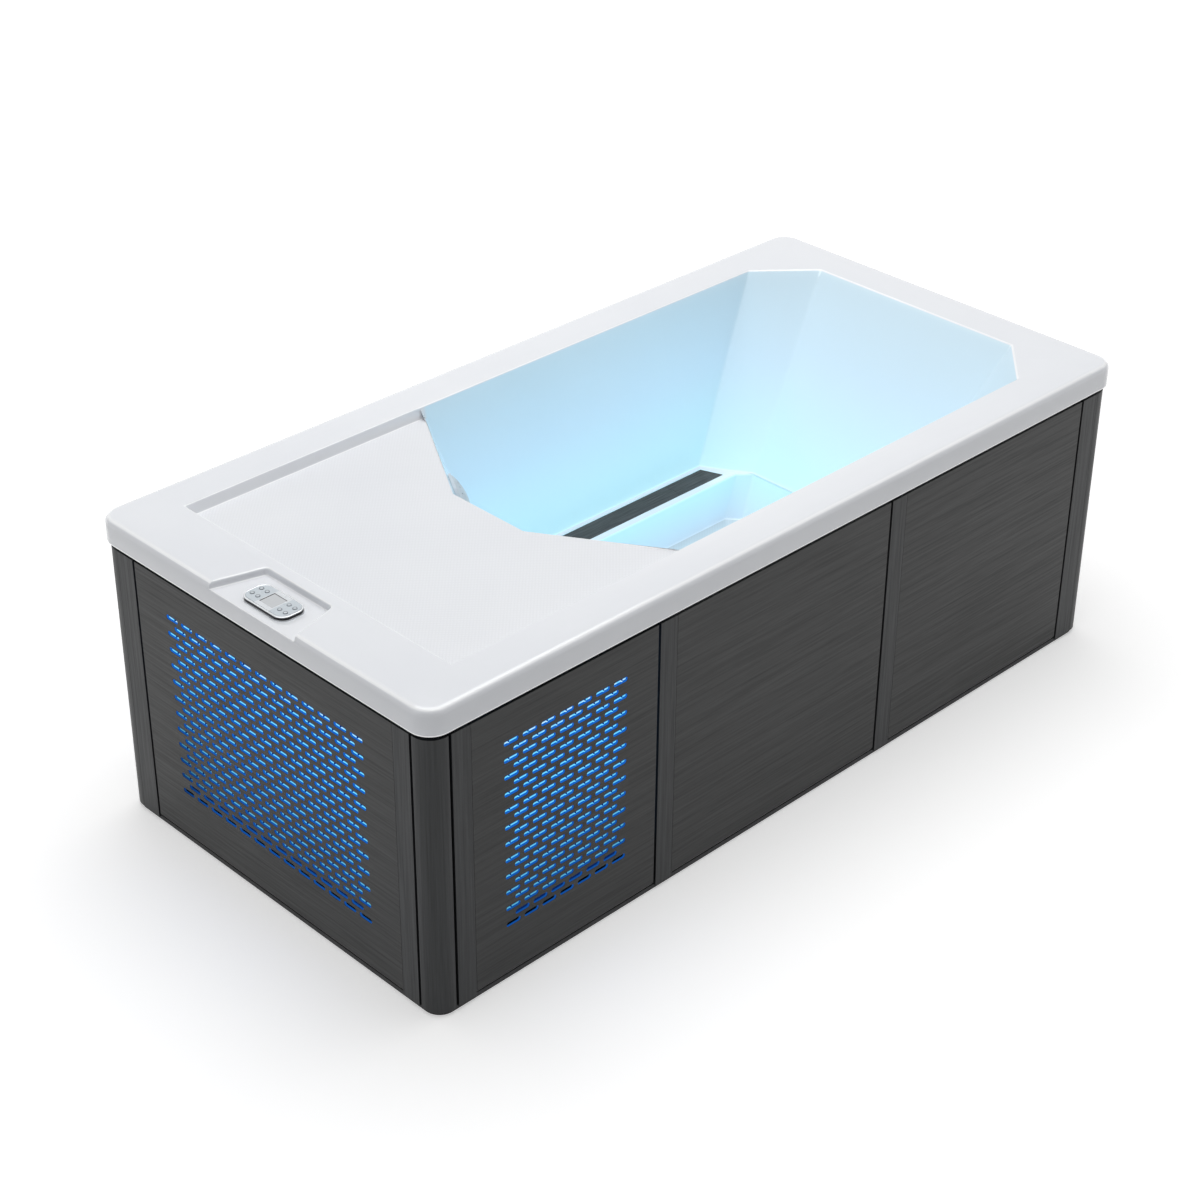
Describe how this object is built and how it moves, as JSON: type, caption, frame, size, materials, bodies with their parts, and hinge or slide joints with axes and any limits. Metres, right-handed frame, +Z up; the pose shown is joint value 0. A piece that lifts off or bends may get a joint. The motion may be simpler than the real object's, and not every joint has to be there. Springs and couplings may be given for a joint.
{
  "type": "cold plunge tub",
  "caption": "Free-standing cold plunge tub: white moulded rim, deck and basin with ledges on a dark panelled cabinet with lit slotted grilles, control pad, chiller and filter bay.",
  "frame": {"origin": "middle of the base on the floor", "axes": "+X along the tub to the backrest end, +Y to the side with the drain outlet, +Z up"},
  "size_m": [2, 0.98, 0.69],
  "materials": {
    "tub_acrylic": "smooth moulded",
    "tray_plastic": "moulded",
    "frame_steel": "powder coated",
    "support_foam": "rigid foam",
    "bulkhead_board": "sealed board",
    "insulation": "foil faced foam",
    "cabinet_dark": "dark grained cladding",
    "strip_dark": "dark grained trim",
    "screen_mesh": "lit dust screen",
    "light_lens": "lit lens",
    "pad_silver": "satin",
    "pad_face": "printed overlay",
    "lcd": "display window",
    "button_rubber": "satin",
    "inlay_dark": "dark grained inlay",
    "fitting_grey": "moulded",
    "fitting_white": "moulded",
    "lamp_lens": "lit lens",
    "drain_metal": "polished",
    "pipe_white": "water pipe",
    "brass": "machined",
    "handle_red": "dipped",
    "filter_body": "moulded",
    "filter_cap": "moulded",
    "filter_media": "pleated",
    "pump_body": "moulded",
    "exchanger_case": "moulded",
    "compressor_black": "gloss paint",
    "coil_metal": "finned",
    "fan_black": "moulded",
    "motor_metal": "painted",
    "copper": "copper pipe",
    "box_grey": "powder coated",
    "gland_black": "moulded"
  },
  "bodies": {
    "tub": {"tub_shell": "tub_acrylic", "base_tray": "tray_plastic", "frame": "frame_steel", "basin_cradles": "support_foam", "bay_bulkhead": "bulkhead_board", "insulation_boards": "insulation", "post_front_near": "strip_dark", "post_front_far": "strip_dark", "post_back_near": "strip_dark", "post_back_far": "strip_dark", "front_strips": "strip_dark", "back_strips": "strip_dark", "near_end_strips": "strip_dark", "far_end_strips": "strip_dark", "front_grille_panel": "cabinet_dark", "front_middle_panel": "cabinet_dark", "front_far_panel": "cabinet_dark", "back_grille_panel": "cabinet_dark", "back_middle_panel": "cabinet_dark", "back_far_panel": "cabinet_dark", "end_grille_panel": "cabinet_dark", "far_end_panel": "cabinet_dark", "dust_screens": "screen_mesh", "bay_light_bars": "light_lens", "keypad_housing": "pad_silver", "keypad_face": "pad_face", "lcd_window": "lcd", "back_ledge_cover": "inlay_dark", "front_ledge_cover": "inlay_dark", "suction_fitting": "fitting_grey", "jet_body": "fitting_white", "basin_light": "lamp_lens", "drain_strainer": "drain_metal", "water_pipes": "pipe_white", "drain_outlet": "drain_metal", "drain_valve_body": "brass", "filter_housing": "filter_body", "filter_cartridge": "filter_media", "circulation_pump": "pump_body", "heat_exchanger": "exchanger_case", "compressor": "compressor_black", "condenser_coil": "coil_metal", "fan_shroud": "fan_black", "fan_motor": "motor_metal", "refrigerant_lines": "copper", "control_box": "box_grey", "power_gland": "gland_black"},
    "button_1": {"button_1": "button_rubber"},
    "button_2": {"button_2": "button_rubber"},
    "button_3": {"button_3": "button_rubber"},
    "button_4": {"button_4": "button_rubber"},
    "button_5": {"button_5": "button_rubber"},
    "button_6": {"button_6": "button_rubber"},
    "button_7": {"button_7": "button_rubber"},
    "button_8": {"button_8": "button_rubber"},
    "fan_rotor": {"fan_rotor": "fan_black"},
    "pump_impeller": {"pump_impeller": "brass"},
    "jet_nozzle": {"jet_nozzle": "fitting_white"},
    "filter_lid": {"filter_lid": "filter_cap"},
    "drain_handle": {"drain_handle": "handle_red"}
  },
  "joints": [
    {"name": "button_1_press", "type": "slide", "parent": "tub", "child": "button_1", "axis": [0, 0, -1], "range_m": [0, 0.0012], "stiffness_N_per_m": 800},
    {"name": "button_2_press", "type": "slide", "parent": "tub", "child": "button_2", "axis": [0, 0, -1], "range_m": [0, 0.0012], "stiffness_N_per_m": 800},
    {"name": "button_3_press", "type": "slide", "parent": "tub", "child": "button_3", "axis": [0, 0, -1], "range_m": [0, 0.0012], "stiffness_N_per_m": 800},
    {"name": "button_4_press", "type": "slide", "parent": "tub", "child": "button_4", "axis": [0, 0, -1], "range_m": [0, 0.0012], "stiffness_N_per_m": 800},
    {"name": "button_5_press", "type": "slide", "parent": "tub", "child": "button_5", "axis": [0, 0, -1], "range_m": [0, 0.0012], "stiffness_N_per_m": 800},
    {"name": "button_6_press", "type": "slide", "parent": "tub", "child": "button_6", "axis": [0, 0, -1], "range_m": [0, 0.0012], "stiffness_N_per_m": 800},
    {"name": "button_7_press", "type": "slide", "parent": "tub", "child": "button_7", "axis": [0, 0, -1], "range_m": [0, 0.0012], "stiffness_N_per_m": 800},
    {"name": "button_8_press", "type": "slide", "parent": "tub", "child": "button_8", "axis": [0, 0, -1], "range_m": [0, 0.0012], "stiffness_N_per_m": 800},
    {"name": "fan_spin", "type": "hinge", "parent": "tub", "child": "fan_rotor", "pos_m": [-0.8937, 0.11, 0.27], "axis": [1, 0, 0], "continuous": true},
    {"name": "impeller_spin", "type": "hinge", "parent": "tub", "child": "pump_impeller", "pos_m": [-0.62, 0.131, 0.092], "axis": [0, 1, 0], "continuous": true},
    {"name": "jet_swivel", "type": "hinge", "parent": "tub", "child": "jet_nozzle", "pos_m": [-0.29232, -0.2189, 0.51234], "axis": [-0.5211, 0.8535, 0], "range_deg": [-15, 15]},
    {"name": "filter_lid_turn", "type": "hinge", "parent": "tub", "child": "filter_lid", "pos_m": [-0.62, 0.33, 0.37], "axis": [0, 0, 1], "range_deg": [0, 60]},
    {"name": "drain_handle_turn", "type": "hinge", "parent": "tub", "child": "drain_handle", "pos_m": [-0.5, 0.215, 0.07], "axis": [0, 0, -1], "range_deg": [0, 90]}
  ]
}
